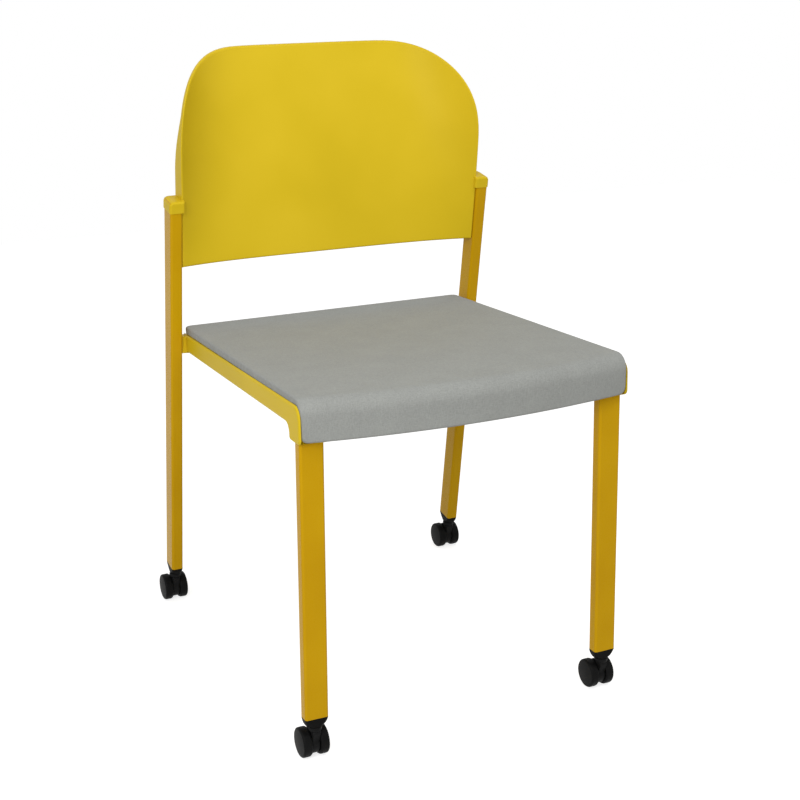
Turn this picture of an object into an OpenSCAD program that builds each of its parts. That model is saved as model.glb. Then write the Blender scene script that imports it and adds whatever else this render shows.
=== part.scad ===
// Side chair on castors: a steel tube frame, a moulded back, a moulded seat pan and an upholstered pad.
// The sitter faces -Y, so the chair's own left side is +X. The floor is Z = 0.

/* [Frame tube] */
// Width of the tube's wide faces
tube_wide = 32; // [26:0.5:40]
// Width of the tube's narrow faces
tube_narrow = 17.5; // [14:0.5:22]
// Radius of the tube's corners
tube_corner = 3.5; // [2:0.5:6]
// Wall of the tube
tube_wall = 1.8; // [1.2:0.1:2.5]

/* [Stance] */
// Distance between the front feet
front_foot_span = 429.4; // [380:1:480]
// Distance between the rear posts
post_span = 480.4; // [430:1:520]
// Distance from the front feet to the rear feet
wheelbase = 520.6; // [460:1:580]
// Height of the legs' cut ends over the floor
foot_height = 61; // [50:1:80]
// How far each front leg leans toward the other one, in degrees
leg_lean_in = 0.6; // [0:0.1:3]
// How far the front legs lean back, in degrees
leg_lean_back = 1.5; // [0:0.1:5]
// How far the rear posts lean forward, in degrees
post_lean = 8.5; // [4:0.5:12]
// How far the front legs' tops stay under the pad's top
leg_top_drop = 20.4; // [18:0.1:24]
// Length of a rear post
post_length = 597; // [520:1:660]

/* [Seat] */
// Height of the pad's rear edge
seat_height = 458.7; // [420:1:500]
// Distance of the pad's rear edge in front of the rear feet
seat_setting = 50.3; // [30:1:80]
// Slope of the seat, front higher, in degrees
seat_slope = 3.44; // [0:0.1:8]
// Width of the pad at the back
pad_rear_w = 443; // [400:1:480]
// Width of the pad at the front
pad_front_w = 456; // [410:1:500]
// How far behind the front feet the pad's rolled front edge begins
nose_set = 11.8; // [0:0.1:30]
// Radius of the pad's rolled front edge
nose_r = 20; // [12:1:35]
// Turn of the rolled front edge, in degrees
nose_turn = 93; // [85:1:100]
// Length of the skirt under the rolled edge
skirt_l = 33; // [15:1:60]
// How far the front edge bows forward in the middle
pad_bow = 26; // [0:1:45]
// Thickness of the pad on the board
pad_t = 11; // [8:0.5:30]
// Thickness of the pad's skirt
skirt_t = 6.3; // [5:0.1:20]
// Rounding of the pad's edge
pad_edge = 4; // [2:0.5:6]
// Rounding of the pad's lower edge
pad_under = 2; // [1:0.5:3]
// Radius of the pad's rear corners in plan
pad_rear_corner = 12; // [6:1:30]
// Radius of the skirt's lower corners
skirt_corner = 9; // [4:1:20]
// Crown of the pad near the front
pad_crown = 2.5; // [0:0.5:10]
// Dish of the pad in its rear half
pad_dish = 5; // [0:0.5:12]
// Thickness of the plywood board
board_t = 5; // [4:0.5:9]

/* [Seat pan] */
// How far the pan's rim stands out beyond the pad
rim_w = 2.8; // [2:0.1:6]
// Depth of the rim's top edge under the pad's top, at the back
rim_drop_rear = 12; // [8:0.5:20]
// Depth of the rim's top edge under the pad's top, at the front
rim_drop_front = 8.5; // [6:0.5:20]
// Depth of the side rail's bottom under the pad's top
rail_drop = 38; // [30:1:50]
// Width of a side rail
rail_w = 24; // [20:1:32]
// Wall of the pan's mouldings
pan_wall = 2.5; // [2:0.1:4]
// Depth of the leg collar's bottom under the pad's top
collar_drop = 56; // [45:1:70]
// Radius of the bend from rail to collar
rail_bend = 15; // [8:1:25]
// Rounding of the rail's lower edge
rail_round = 6; // [2:0.5:8]
// Rounding of the rim's edge
rim_round = 2.4; // [1:0.1:2.6]
// Front-to-back size of the cover over the rear cross bar
shroud_w = 17; // [15:0.5:24]
// Number of ribs under the pan's floor
rib_count = 5; // [3:1:9]
// Thickness of the ribs
rib_t = 2.4; // [1.5:0.1:4]

/* [Steel bars under the pan] */
// Front-to-back size of the rear cross bar
rear_bar_w = 12; // [10:0.5:14]
// Height of the rear cross bar
rear_bar_h = 20; // [16:0.5:24]
// Width of the side bars and of the front cross bar
bar_w = 16; // [12:0.5:18]
// Height of the side bars and of the front cross bar
bar_h = 18; // [14:0.5:20]
// Wall of the bars
bar_wall = 1.5; // [1:0.1:2]

/* [Backrest] */
// How far the backrest's sides reach down beside the posts' ends
back_grip = 97; // [70:1:130]
// Height of the backrest
back_height = 296.5; // [240:0.5:360]
// Width of each top corner's curve
back_corner_w = 123; // [60:1:180]
// Height of each top corner's curve
back_corner_h = 149; // [80:1:200]
// Squareness of the top corners: 2 is an ellipse
back_square = 2.55; // [2:0.05:4]
// Depth of the hollow across the bottom edge
wrap_bottom = 15.5; // [5:0.5:40]
// Depth of the hollow across the top edge, were it as wide as the bottom
wrap_top = 112; // [60:1:140]
// Fullness of the hollow: 2 is a plain curve, more is flatter with tighter sides
wrap_power = 4; // [2:0.5:6]
// How far the side edges curl back at the top
edge_curl = 15; // [0:0.5:25]
// How far the shell's front edge sits behind the posts' front faces
back_set = 2.5; // [0:0.5:8]
// Thickness of the shell's panel
panel_t = 5; // [3:0.5:8]
// Thickness of the shell's sides
flank_t = 3.6; // [2.5:0.1:6]
// Depth of the shell's sides beside the posts
flank_deep = 32; // [20:1:45]
// Depth of the shell's rim round the top
flank_shallow = 8; // [6:0.5:14]
// Height over the bottom edge at which the sides begin to fall away
flank_fall_low = 135.5; // [90:0.5:180]
// Height over the bottom edge at which the sides have fallen to the rim's depth
flank_fall_high = 235.5; // [200:0.5:280]
// Rounding of the shell's front edge
back_edge = 2.8; // [1:0.1:4]
// Least lip of the rim behind the panel
rim_lip = 2; // [1:0.5:4]
// Height of an ear on top of a post
ear_h = 23; // [16:0.5:32]
// Wall of an ear
ear_wall = 1.4; // [0.8:0.1:4]
// Thickness of an ear over the post's end
ear_top = 4; // [2:0.5:8]
// Rounding of an ear's outer top edge
ear_round = 8; // [3:0.5:9]

/* [Castors] */
// Diameter of a wheel
wheel_d = 40; // [32:1:60]
// Width of a wheel
wheel_w = 12.5; // [9:0.5:16]
// Clear gap between the two wheels of a castor
wheel_gap = 11; // [8:0.5:16]
// Dome of a wheel's outer side
wheel_dome = 1; // [0.5:0.1:3]
// Rounding of a wheel's edges
wheel_round = 3; // [1:0.5:5]
// Distance of the axle behind the swivel
trail = 11.8; // [8:0.1:20]
// Diameter of the axle
axle_d = 6; // [4:0.5:8]
// Diameter of the swivel stem
stem_d = 8; // [6:0.5:11]
// Diameter of the neck under the leg
neck_d = 22; // [16:0.5:28]
// Thickness of the hood over the wheels, at its outer edge
hood_t = 1.8; // [1.2:0.1:3]
// Rise of the hood toward the neck
hood_rise = 5; // [2:0.5:8]
// Height of the bowl between the leg and the neck
bowl_h = 8; // [5:0.5:12]

/* [Fits] */
// Clearance of a shaft that turns in its bore, on the radius
run_fit = 0.05; // [0.02:0.01:0.1]
// Clearance of pieces that are fixed together
still_fit = 0.2; // [0.1:0.05:0.4]
// Clearance of pieces that move past each other
move_gap = 0.5; // [0.3:0.1:1]
// Gap left for a weld
weld_gap = 0.05; // [0.02:0.01:0.1]

/* [Hidden] */
$fn = 48;
over = 1;
small_round_count = 24;

pad_flat = wheelbase - seat_setting - nose_set;
nose_len = PI * nose_r * nose_turn / 180;
pad_len = pad_flat + nose_len + skirt_l;
front_reach = seat_reach();
rear_reach = trail + wheel_d / 2;
depth_all = wheelbase + front_reach + rear_reach;
rear_foot_y = depth_all / 2 - rear_reach;
front_foot_y = rear_foot_y - wheelbase;
seat_y = rear_foot_y - seat_setting;

// The legs end inside the pan's collars, and the backrest sits on the posts' ends
front_bar_set = 7.5;
front_bar_s = pad_flat - front_bar_set;
leg_rise = seat_height - foot_height + (front_bar_s + bar_w / 2) * sin(seat_slope);
leg_length = (leg_rise - leg_top_drop * cos(seat_slope)) / cos(leg_lean_back) / cos(leg_lean_in);
back_bottom = foot_height + post_length * cos(post_lean) - back_grip;
back_top = back_bottom + back_height;

// How far the pad's nose reaches in front of the front feet
function seat_reach() =
    (pad_flat + pad_bow) * cos(seat_slope) + nose_r * sin(seat_slope) + nose_r + seat_setting - wheelbase;

yellow = [0.80, 0.62, 0.05];
steel = [0.72, 0.73, 0.74];
black = [0.10, 0.10, 0.11];
grey = [0.58, 0.59, 0.56];
birch = [0.82, 0.70, 0.50];

// Shapes shared by several pieces

module rounded_rect(w, d, r)
{
    square([w - 2 * r, d], center = true);
    square([w, d - 2 * r], center = true);
    for (sx = [-1, 1])
        for (sy = [-1, 1])
            translate([sx * (w / 2 - r), sy * (d / 2 - r)])
                circle(r = r, $fn = small_round_count);
}

// One closed skin from a front grid, loops round its border and a back grid.
// Each surface is a function of row and column. Rows rise and columns go right as seen from outside.
module skin(rows, cols, front, loops, back)
{
    border = concat(
        [for (c = [0 : 1 : cols - 1]) [0, c]],
        [for (r = [1 : 1 : rows - 1]) [r, cols - 1]],
        [for (c = [cols - 2 : -1 : 0]) [rows - 1, c]],
        [for (r = [rows - 2 : -1 : 1]) [r, 0]]
    );
    n = len(border);
    grid = rows * cols;
    last = grid + len(loops) * n;
    points = concat(
        [for (r = [0 : 1 : rows - 1]) for (c = [0 : 1 : cols - 1]) front(r, c)],
        [for (loop = loops) for (b = border) loop(b[0], b[1])],
        [for (r = [0 : 1 : rows - 1]) for (c = [0 : 1 : cols - 1]) back(r, c)]
    );
    rings = concat(
        [[for (b = border) b[0] * cols + b[1]]],
        [for (j = [0 : 1 : len(loops) - 1]) [for (k = [0 : 1 : n - 1]) grid + j * n + k]],
        [[for (b = border) last + b[0] * cols + b[1]]]
    );
    faces = concat(
        [for (r = [0 : 1 : rows - 2]) for (c = [0 : 1 : cols - 2]) each [
            [r * cols + c, (r + 1) * cols + c, (r + 1) * cols + c + 1],
            [r * cols + c, (r + 1) * cols + c + 1, r * cols + c + 1]
        ]],
        [for (j = [0 : 1 : len(rings) - 2]) for (k = [0 : 1 : n - 1]) each [
            [rings[j][k], rings[j][(k + 1) % n], rings[j + 1][(k + 1) % n]],
            [rings[j][k], rings[j + 1][(k + 1) % n], rings[j + 1][k]]
        ]],
        [for (r = [0 : 1 : rows - 2]) for (c = [0 : 1 : cols - 2]) each [
            [last + r * cols + c, last + (r + 1) * cols + c + 1, last + (r + 1) * cols + c],
            [last + r * cols + c, last + r * cols + c + 1, last + (r + 1) * cols + c + 1]
        ]]
    );
    polyhedron(points = points, faces = faces, convexity = 6);
}

function smooth(t) =
    let (k = max(0, min(1, t)))
    k * k * (3 - 2 * k);

function cut_corner(run, r) =
    run < r ? r - sqrt(r * r - (r - run) * (r - run)) : 0;

// Frames in which the legs, posts and seat are drawn

module in_leg(side)
{
    translate([side * front_foot_span / 2, front_foot_y, foot_height])
        rotate([-leg_lean_back, -side * leg_lean_in, 0])
            children();
}

module in_post(side)
{
    translate([side * post_span / 2, rear_foot_y, foot_height])
        rotate([post_lean, 0, 0])
            children();
}

// In the seat's frame the pad's rear edge is the X axis, its top is Z = 0 and the front is toward -Y.
module in_seat()
{
    translate([0, seat_y, seat_height])
        rotate([-seat_slope, 0, 0])
            children();
}

module on_side(side)
{
    mirror([side > 0 ? 0 : 1, 0, 0])
        children();
}

// In a rail's frame X = 0 is the rail's outer face and the rail runs toward -Y.
rail_angle = atan((pad_front_w - pad_rear_w) / 2 / (pad_flat + nose_r));
rail_out = pad_rear_w / 2 + rim_w;

module in_rail(side)
{
    in_seat()
        on_side(side)
            translate([rail_out, 0, 0])
                rotate([0, 0, rail_angle])
                    children();
}

// Frame

module tube_bar(w, d, r, wall, l)
{
    difference() {
        linear_extrude(height = l)
            rounded_rect(w, d, r);
        translate([0, 0, -over])
            linear_extrude(height = l + 2 * over)
                rounded_rect(w - 2 * wall, d - 2 * wall, r - wall);
    }
}

// Places of the backrest's screws, down from the post's end
screw_low_drop = 67;
screw_high_drop = 31;
screw_low = post_length - screw_low_drop;
screw_high = post_length - screw_high_drop;
screw_r = 2;
screw_head_r = 3.5;
screw_head_h = 2.6;
nut_r = 3.5;
nut_bulge_r = 4.6;
nut_l = 9;
screw_l = 14;

module rear_post(side)
{
    color(yellow)
        difference() {
            in_post(side)
                tube_bar(tube_narrow, tube_wide, tube_corner, tube_wall, post_length);
            for (h = [screw_low, screw_high])
                in_post(side)
                    translate([-side * tube_narrow / 2, 0, h])
                        rotate([0, side * 90, 0])
                            translate([0, 0, -over])
                                cylinder(r = nut_r + still_fit, h = tube_wall + 2 * over);
        }
}

module front_leg(side)
{
    color(yellow)
        difference() {
            in_leg(side)
                tube_bar(tube_wide, tube_narrow, tube_corner, tube_wall, leg_length);
            leg_screw_hole(side);
        }
}

module leg_shape(side, grow, low, high)
{
    in_leg(side)
        translate([0, 0, low])
            linear_extrude(height = high - low)
                rounded_rect(tube_wide + 2 * grow, tube_narrow + 2 * grow, tube_corner + grow);
}

// Steel bars under the pan, all inside its mouldings

rear_bar_s = 0.5;
rear_bar_top = 15;
side_bar_in = 3.8;
side_bar_top = 17.3;
front_bar_top = 21;
bar_corner = 2;
collar_in = 3;

module rect_bar(w, d, wall, l)
{
    difference() {
        linear_extrude(height = l)
            rounded_rect(w, d, bar_corner);
        translate([0, 0, -over])
            linear_extrude(height = l + 2 * over)
                rounded_rect(w - 2 * wall, d - 2 * wall, bar_corner - wall);
    }
}

module rear_cross_bar()
{
    half = post_span / 2 - tube_narrow / 2 - weld_gap;
    color(steel)
        in_seat()
            translate([-half, -rear_bar_s - rear_bar_w / 2, -rear_bar_top - rear_bar_h / 2])
                rotate([90, 0, 90])
                    rect_bar(rear_bar_w, rear_bar_h, bar_wall, 2 * half);
}

module side_bar(side)
{
    color(steel)
        difference() {
            in_rail(side)
                translate([-side_bar_in - bar_w / 2, -rear_bar_s - rear_bar_w, -side_bar_top - bar_h / 2])
                    rotate([90, 0, 0])
                        rect_bar(bar_w, bar_h, bar_wall, front_bar_s);
            in_seat()
                translate([-post_span, -rear_bar_s - rear_bar_w - weld_gap, -2 * rail_drop])
                    cube([2 * post_span, 2 * rear_bar_w, 2 * rail_drop]);
            in_leg(side)
                translate([-tube_wide, tube_narrow / 2 + weld_gap - 2 * tube_wide, 0])
                    cube([2 * tube_wide, 2 * tube_wide, leg_length + bar_h]);
            pan_screw_holes(side, pan_screw_r + still_fit);
        }
}

module front_cross_bar()
{
    color(steel)
        difference() {
            in_seat()
                translate([-front_foot_span / 2, -front_bar_s - bar_w / 2, -front_bar_top - bar_h / 2])
                    rotate([90, 0, 90])
                        rect_bar(bar_w, bar_h, bar_wall, front_foot_span);
            for (side = [-1, 1]) {
                leg_shape(side, weld_gap, 0, leg_length + over);
                in_leg(side)
                    translate([side > 0 ? 0 : -tube_wide, -tube_wide, 0])
                        cube([tube_wide, 2 * tube_wide, leg_length + over]);
            }
        }
}

// Seat: the pad's side outline is a flat run, a rolled nose and a short skirt

function pad_place(a) =
    a < pad_flat ? [a, 0, 0]
    : a < pad_flat + nose_len
    ? let (t = (a - pad_flat) / nose_len * nose_turn)
    [pad_flat + nose_r * sin(t), -nose_r + nose_r * cos(t), t]
    : let (k = a - pad_flat - nose_len)
    [
        pad_flat + nose_r * sin(nose_turn) + k * cos(nose_turn),
        -nose_r + nose_r * cos(nose_turn) - k * sin(nose_turn),
        nose_turn
    ];

function pad_half(a) =
    pad_rear_w / 2 + (pad_front_w - pad_rear_w) / 2 * min(1, a / (pad_flat + nose_r));

function pad_thick(a) =
    pad_t + (skirt_t - pad_t) * smooth((a - pad_flat + nose_r) / (nose_len + nose_r));

// A point of the seat's form at arc length a and width x, the given depth under its outer face
function seat_point(a, x, depth) =
    let (
        p = pad_place(a),
        u = min(1, abs(x) / pad_half(a)),
        s = p[0] - depth * sin(p[2]) + pad_bow * (1 - u * u) * min(1, a / pad_flat)
    )
    [x, -s, p[1] - depth * cos(p[2])];

pad_rows = concat(
    [for (k = [0 : 1 : 3]) pad_rear_corner * (1 - sin(90 - k * 90 / 3))],
    [for (k = [1 : 1 : 8]) pad_rear_corner + (pad_flat - pad_rear_corner) * k / 8],
    [for (k = [1 : 1 : 5]) pad_flat + nose_len * k / 5],
    [pad_flat + nose_len + (skirt_l - skirt_corner) / 2],
    [for (k = [3 : -1 : 0]) pad_len - skirt_corner * (1 - sin(90 - k * 90 / 3))]
);
pad_col_count = 17;

function pad_swell(a, u) =
    let (k = a / pad_flat)
    (1 - u * u) * (
        pad_crown * smooth((k - 0.45) * 3) * smooth((1.05 - k) * 5)
        - pad_dish * (1 - u * u) * smooth(k * 4) * smooth((0.75 - k) * 3)
    );

function pad_point(r, c, inset, depth, swell) =
    let (
        a = pad_rows[r],
        u = 1 - 2 * c / (pad_col_count - 1),
        run = inset + a * (pad_len - 2 * inset) / pad_len,
        half = pad_half(run) - inset - cut_corner(a, pad_rear_corner) - cut_corner(pad_len - a, skirt_corner)
    )
    seat_point(run, u * half, depth - swell * pad_swell(run, u));

module seat_cushion()
{
    side_in = pad_edge * (1 - cos(45));
    color(grey)
        in_seat()
            skin(
                len(pad_rows), pad_col_count,
                function (r, c) pad_point(r, c, pad_edge, 0, 1),
                [
                    function (r, c) pad_point(r, c, side_in, side_in, 0),
                    function (r, c) pad_point(r, c, 0, pad_edge, 0),
                    function (r, c) pad_point(r, c, 0, pad_thick(pad_rows[r]) - pad_under, 0)
                ],
                function (r, c) pad_point(r, c, pad_under, pad_thick(pad_rows[r]), 0)
            );
}

// Plywood board under the pad, between the rails

board_rear_s = shroud_w - over;
board_front_set = 14.5;
board_front_s = pad_flat - board_front_set;
board_top = pad_t + still_fit / 2;
board_side = rail_w + still_fit;

module seat_plan(inset, s0, s1)
{
    slope = tan(rail_angle);
    polygon([
        [-(rail_out - inset + s0 * slope), -s0],
        [rail_out - inset + s0 * slope, -s0],
        [rail_out - inset + s1 * slope, -s1],
        [-(rail_out - inset + s1 * slope), -s1]
    ]);
}

board_screw_r = 1.75;
board_screw_head_r = 3.8;
board_screw_head_h = 2.2;
board_screw_l = 7;
board_screw_x = 150;
board_screw_s = [for (share = [0.13, 0.5, 0.87]) share * pad_flat];

module board_screw_places()
{
    for (x = [-1, 1])
        for (s = board_screw_s)
            in_seat()
                translate([x * board_screw_x, -s, -floor_top - pan_floor])
                    children();
}

module seat_board()
{
    color(birch)
        difference() {
            in_seat()
                translate([0, 0, -board_top - board_t])
                    linear_extrude(height = board_t)
                        seat_plan(board_side, board_rear_s, board_front_s);
            board_screw_places()
                cylinder(r = board_screw_r + run_fit, h = board_screw_l + run_fit);
        }
}

module board_screws()
{
    color(steel)
        board_screw_places() {
            cylinder(r = board_screw_r, h = board_screw_l);
            translate([0, 0, -board_screw_head_h])
                cylinder(r1 = board_screw_head_r * 0.7, r2 = board_screw_head_r, h = board_screw_head_h);
        }
}

// Seat pan: rails with leg collars, a cover over the rear bar, a ribbed floor and a curved front apron

floor_top = board_top + board_t + still_fit;
pan_floor = 2.8;
rail_start = -2;
rail_in = 0.5;
rail_front = pad_flat + nose_r - rail_in;
rail_nose_r = 16;
collar_set = 17.5;
collar_back = pad_flat - collar_set;
collar_toe = 3.5;
collar_corner = 8;
ledge = pad_t + still_fit;
skirt_lean = skirt_l * sin(nose_turn - 90);
collar_face = pad_flat + nose_r - skirt_t - skirt_lean - still_fit;
boss_r = 5;
shroud_in = 0.6;

rim_slope = atan((rim_drop_rear - rim_drop_front) / rail_front);
rim_end_s = rail_front - rail_nose_r - rail_nose_r * sin(rim_slope);
rim_end_z = -rim_drop_front - rail_nose_r + rail_nose_r * cos(rim_slope);
rim_run = (rim_end_s - rail_start) / cos(rim_slope);
bend_s = collar_back - rail_bend;
bend_z = -rail_drop - rail_bend;

// The rail's side view, height across and distance forward down the page
module rail_outline()
{
    difference() {
        union() {
            polygon([
                [rim_end_z - rim_run * sin(rim_slope), -rail_start],
                [rim_end_z, -rim_end_s],
                [-rim_drop_front - rail_nose_r, -rail_front],
                [-collar_drop + collar_corner, -rail_front],
                [-collar_drop, -rail_front + collar_corner],
                [-collar_drop, -collar_back - collar_toe],
                [bend_z, -collar_back],
                [bend_z, -bend_s],
                [-rail_drop, -bend_s],
                [-rail_drop, -rail_start]
            ]);
            translate([-rim_drop_front - rail_nose_r, rail_nose_r - rail_front])
                circle(r = rail_nose_r);
            translate([collar_corner - collar_drop, collar_corner - rail_front])
                circle(r = collar_corner);
        }
        translate([bend_z, -bend_s])
            circle(r = rail_bend);
    }
}

// What a rounded edge takes away between the rail's outer face and a wall that it turns into
module edge_waste(r)
{
    difference() {
        translate([-over, -over])
            square(r + over);
        translate([r, r])
            circle(r = r, $fn = small_round_count);
    }
}

// Along a straight wall that runs forward, facing up or down
module edge_run(s, z, tilt, l, r, face)
{
    translate([0, -s, z])
        rotate([90 - tilt, 0, 0])
            linear_extrude(height = l)
                mirror([1, 0])
                    mirror([0, face > 0 ? 1 : 0])
                        edge_waste(r);
}

// Along an upright wall that faces forward or back
module edge_drop(s, z, l, r, face)
{
    translate([0, -s, z - l])
        linear_extrude(height = l)
            mirror([1, 0])
                mirror([0, face > 0 ? 0 : 1])
                    edge_waste(r);
}

// Round a turn: its wall bulges out, or hollows in
module edge_turn(s, z, turn_r, from, turned, r, bulge)
{
    translate([0, -s, z])
        rotate([0, 90, 0])
            rotate([0, 0, from])
                rotate_extrude(angle = turned)
                    translate([turn_r, 0])
                        mirror([bulge ? 1 : 0, 0])
                            mirror([0, 1])
                                edge_waste(r);
}

module rail_block()
{
    difference() {
        rotate([0, -90, 0])
            linear_extrude(height = rail_w)
                rail_outline();
        edge_run(rail_start - over, -rail_drop, 0, bend_s - rail_start + over, rail_round, -1);
        edge_turn(bend_s, bend_z, rail_bend, 180, 90, rail_round, false);
        edge_drop(collar_back, bend_z, collar_drop + bend_z + over, rail_round, -1);
        edge_run(rail_start, rim_end_z - rim_run * sin(rim_slope), -rim_slope, rim_run, rim_round, 1);
    }
}

// Room for the pad and its skirt inside the rim
module pad_room()
{
    inner_r = nose_r - pad_t - still_fit;
    tall = 2 * pad_t;
    translate([-rim_w + still_fit, 0, 0])
        rotate([0, -90, 0])
            linear_extrude(height = 2 * rail_w)
                polygon(concat(
                    [[tall, -rail_start + tall], [-ledge, -rail_start + tall]],
                    [for (t = [0 : 15 : 90]) [
                        -nose_r + inner_r * cos(t),
                        -(collar_face - inner_r + inner_r * sin(t))
                    ]],
                    [
                        [-collar_drop + over + still_fit, -collar_face],
                        [-collar_drop + over + still_fit, -rail_front - tall],
                        [tall, -rail_front - tall]
                    ]
                ));
}

apron_back_a = pad_flat - nose_r * 0.6;
apron_run = pad_len - pad_flat - nose_r * 0.2;
apron_row_count = 10;
apron_rows = [for (k = [0 : 1 : apron_row_count - 1]) apron_back_a + apron_run * k / (apron_row_count - 1)];
apron_col_count = 15;
apron_half = pad_front_w / 2 + rim_w - rail_w + pan_wall;

module apron()
{
    place = function (r, c, depth)
        seat_point(
            apron_rows[r],
            apron_half * (1 - 2 * c / (apron_col_count - 1)),
            pad_thick(apron_rows[r]) + 2 * still_fit + depth
        );
    skin(
        len(apron_rows), apron_col_count,
        function (r, c) place(r, c, 0),
        [function (r, c) place(r, c, pan_wall / 2)],
        function (r, c) place(r, c, pan_wall)
    );
}

pan_screw_r = 2;
pan_screw_head_r = 3.8;
pan_screw_head_h = 2.2;
pan_screw_s = [for (share = [0.12, 0.5, 0.88]) share * pad_flat];
pan_screw_top = 1.2;
pan_screw_tip = pad_t + pan_screw_top;

module pan_screw_places(side)
{
    for (s = pan_screw_s)
        in_rail(side)
            translate([-side_bar_in - bar_w / 2, -s, -side_bar_top - bar_h])
                children();
}

module pan_screw_holes(side, r)
{
    pan_screw_places(side)
        translate([0, 0, -over])
            cylinder(r = r, h = side_bar_top + bar_h + over - pan_screw_tip + run_fit);
}

module pan_screws()
{
    color(steel)
        for (side = [-1, 1])
            pan_screw_places(side) {
                cylinder(r = pan_screw_r, h = side_bar_top + bar_h - pan_screw_tip);
                translate([0, 0, -pan_screw_head_h - run_fit])
                    cylinder(r = pan_screw_head_r, h = pan_screw_head_h);
                translate([0, 0, -run_fit - over / 2])
                    cylinder(r = pan_screw_r, h = over);
            }
}

leg_screw_drop = 48;
leg_screw_l = 9;

module leg_screw_place(side)
{
    drop_z = seat_height + (front_bar_s + bar_w / 2) * sin(seat_slope) - leg_screw_drop * cos(seat_slope);
    in_leg(side)
        translate([-side * (tube_wide / 2 + still_fit + collar_in), 0, drop_z - foot_height])
            rotate([0, side * 90, 0])
                children();
}

module leg_screw_hole(side)
{
    leg_screw_place(side)
        translate([0, 0, -over])
            cylinder(r = pan_screw_r + still_fit, h = leg_screw_l + 2 * over);
}

module leg_screws()
{
    color(steel)
        for (side = [-1, 1])
            leg_screw_place(side) {
                cylinder(r = pan_screw_r, h = leg_screw_l);
                translate([0, 0, -pan_screw_head_h - run_fit])
                    cylinder(r = pan_screw_head_r, h = pan_screw_head_h);
                translate([0, 0, -run_fit - over / 2])
                    cylinder(r = pan_screw_r, h = over);
            }
}

module collar_block(side)
{
    inner = front_foot_span / 2 - tube_wide / 2 - still_fit - collar_in
        - (seat_height - foot_height - collar_drop) * sin(leg_lean_in);
    outer = rail_out + collar_back * tan(rail_angle) - rail_w + pan_wall;
    in_seat()
        on_side(side) {
            translate([inner, -collar_face, -collar_drop])
                cube([
                    outer - inner,
                    collar_face - collar_back - collar_toe - over,
                    collar_drop - ledge - pan_wall
                ]);
            translate([inner, -rail_front + collar_toe, -collar_drop])
                cube([outer - inner, rail_front - collar_back - 2 * collar_toe - over, over]);
        }
}

module seat_pan()
{
    shroud_end = post_span / 2 - tube_narrow / 2 - still_fit * 2;
    color(yellow)
        difference() {
            union() {
                for (side = [-1, 1]) {
                    difference() {
                        in_rail(side)
                            rail_block();
                        in_rail(side)
                            pad_room();
                        in_rail(side)
                            translate([pan_wall - rail_w, over - collar_back - collar_toe, -rail_drop - over])
                                cube([
                                    rail_w - 2 * pan_wall - over / 2,
                                    collar_back + collar_toe - over - rear_bar_w,
                                    rail_drop + over - ledge - pan_wall
                                ]);
                    }
                    collar_block(side);
                    for (s = pan_screw_s)
                        in_rail(side)
                            translate([-side_bar_in - bar_w / 2, -s, -side_bar_top - over])
                                cylinder(r = boss_r, h = side_bar_top + over - ledge - pan_wall / 2);
                }
                in_seat() {
                    // Cover over the rear cross bar, out to the posts
                    translate([-shroud_end, -shroud_w - rail_start, -rail_drop + shroud_in])
                        cube([
                            2 * shroud_end,
                            shroud_w - shroud_in,
                            rail_drop - rim_drop_rear - 2 * shroud_in
                        ]);
                    translate([0, 0, -floor_top - pan_floor])
                        linear_extrude(height = pan_floor)
                            seat_plan(
                                rail_w - pan_wall / 2,
                                shroud_w + rail_start - over,
                                collar_back + 2 * collar_toe
                            );
                    // Ribs under the floor
                    for (k = [0 : 1 : rib_count - 1])
                        translate([
                            (k - (rib_count - 1) / 2) * pad_rear_w * 0.8 / rib_count - rib_t / 2,
                            -collar_back,
                            -rail_drop + pan_floor
                        ])
                            cube([
                                rib_t,
                                collar_back - shroud_w,
                                rail_drop - floor_top - 2 * pan_floor + over
                            ]);
                    // Wall behind the front cross bar
                    translate([-apron_half, -collar_back - 2 * collar_toe + over / 2, -front_bar_top - bar_h])
                        cube([2 * apron_half, pan_wall, front_bar_top + bar_h - floor_top]);
                    apron();
                }
            }
            // Room for the rear cross bar, open below
            in_seat()
                translate([-post_span, -rear_bar_s - rear_bar_w - still_fit, -rail_drop - over])
                    cube([
                        2 * post_span,
                        rear_bar_w + 2 * still_fit,
                        rail_drop + over - rear_bar_top + still_fit
                    ]);
            // Room for the front cross bar, open below
            in_seat()
                translate([-front_foot_span / 2, -front_bar_s - bar_w - still_fit, -collar_drop - over])
                    cube([
                        front_foot_span,
                        bar_w + 2 * still_fit,
                        collar_drop + over - front_bar_top + still_fit
                    ]);
            for (side = [-1, 1]) {
                leg_shape(side, still_fit, leg_length / 2, leg_length + still_fit);
                side_bar_room(side);
                pan_screw_holes(side, pan_screw_r + run_fit);
                leg_screw_hole(side);
            }
            board_screw_places()
                translate([0, 0, -over])
                    cylinder(r = board_screw_r + still_fit, h = board_screw_l);
        }
}

// Room for a side bar where it enters the covers of the cross bars
module side_bar_room(side)
{
    in_rail(side)
        translate([
            -side_bar_in - bar_w - still_fit,
            -front_bar_s - bar_w / 2,
            -rail_drop - 2 * over
        ])
            cube([bar_w + 2 * still_fit, front_bar_s, rail_drop + 2 * over - side_bar_top + still_fit]);
}

// Backrest: a shell hollowed toward the sitter, with sides that go back along the posts

back_w = post_span - tube_narrow - 2 * still_fit * 2;
back_rise = back_top - back_bottom;
straight_row_count = 6;
corner_row_count = 10;
back_row_count = straight_row_count + corner_row_count;
back_col_count = 25;

// Front face of the posts, seen from the side, at height z
function post_front(z) =
    rear_foot_y - (z - foot_height) * tan(post_lean) - tube_wide / 2 / cos(post_lean);

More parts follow.
